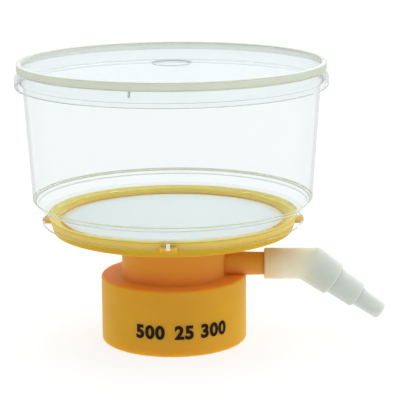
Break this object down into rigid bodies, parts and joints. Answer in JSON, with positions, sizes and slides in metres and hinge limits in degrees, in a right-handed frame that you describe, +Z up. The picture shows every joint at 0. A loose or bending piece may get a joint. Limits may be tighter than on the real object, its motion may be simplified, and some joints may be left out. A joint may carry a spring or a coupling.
{
  "type": "vacuum filtration unit",
  "caption": "Clear lidded funnel over a white membrane on an amber screw-on base with a neck, a wide collar, a side vacuum port and a stepped hose elbow.",
  "frame": {"origin": "on the surface the unit stands on, at the middle of its whole footprint, hose adapter included; the funnel's and collar's axis is 11.3 mm from it along -X", "axes": "+Z up along the funnel's axis, +X along the vacuum port away from the neck, +Y completes the frame"},
  "size_m": [0.1398, 0.1172, 0.1072],
  "materials": {
    "lid": "clear polystyrene, polished",
    "funnel": "clear polystyrene, polished",
    "membrane": "matt white microporous film",
    "base": "translucent amber polystyrene, fine satin moulded surface",
    "gasket": "soft white silicone, matt",
    "hose_adapter": "milky translucent polypropylene, satin"
  },
  "bodies": {
    "base": {"base": "base", "support": "base", "funnel": "funnel", "membrane": "membrane", "bottle_gasket": "gasket"},
    "lid": {"lid": "lid"},
    "hose_adapter": {"hose_adapter": "hose_adapter"}
  },
  "joints": [
    {"name": "lid_lift", "type": "slide", "parent": "base", "child": "lid", "axis": [0, 0, 1], "range_m": [0, 0.04]},
    {"name": "adapter_swivel", "type": "hinge", "parent": "base", "child": "hose_adapter", "pos_m": [0.0288, 0, 0.0289], "axis": [1, 0, 0], "continuous": true}
  ]
}
